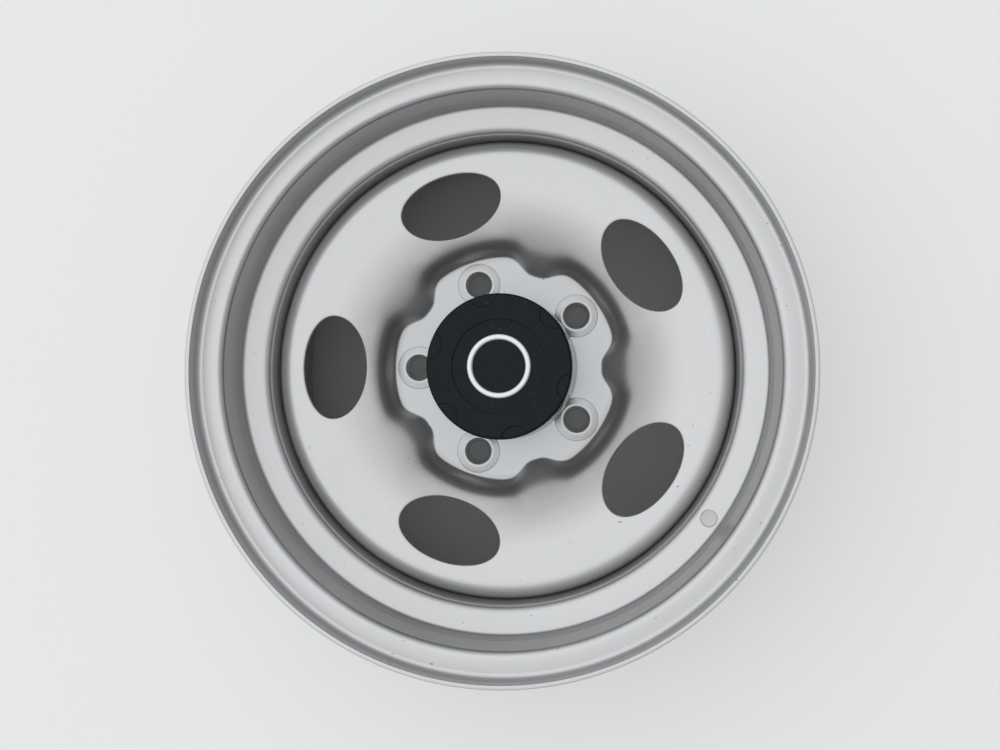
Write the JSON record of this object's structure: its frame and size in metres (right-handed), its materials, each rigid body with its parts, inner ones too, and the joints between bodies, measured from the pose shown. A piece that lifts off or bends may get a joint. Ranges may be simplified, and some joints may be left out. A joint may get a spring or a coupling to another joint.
{
  "type": "steel wheel",
  "caption": "Pressed steel road wheel: rolled rim, welded disc with oval vents, sunk bolt pad with conical nut seats and a black push-in centre cap.",
  "frame": {"origin": "on the wheel's axis, in the plane of the hub mounting face", "axes": "+Z along the wheel's axis towards the street face; +X to the picture's right; the wheel lies on its inner flange"},
  "size_m": [0.4405, 0.4406, 0.2078],
  "materials": {
    "silver_paint": "satin",
    "cap_plastic": "gloss",
    "spring_steel": "satin",
    "badge_chrome": "polished"
  },
  "bodies": {
    "root": {"rim": "silver_paint", "disc": "silver_paint", "weld_beads": "silver_paint", "centre_cap": "cap_plastic", "cap_spring_ring": "spring_steel", "cap_badge_ring": "badge_chrome"}
  },
  "joints": []
}
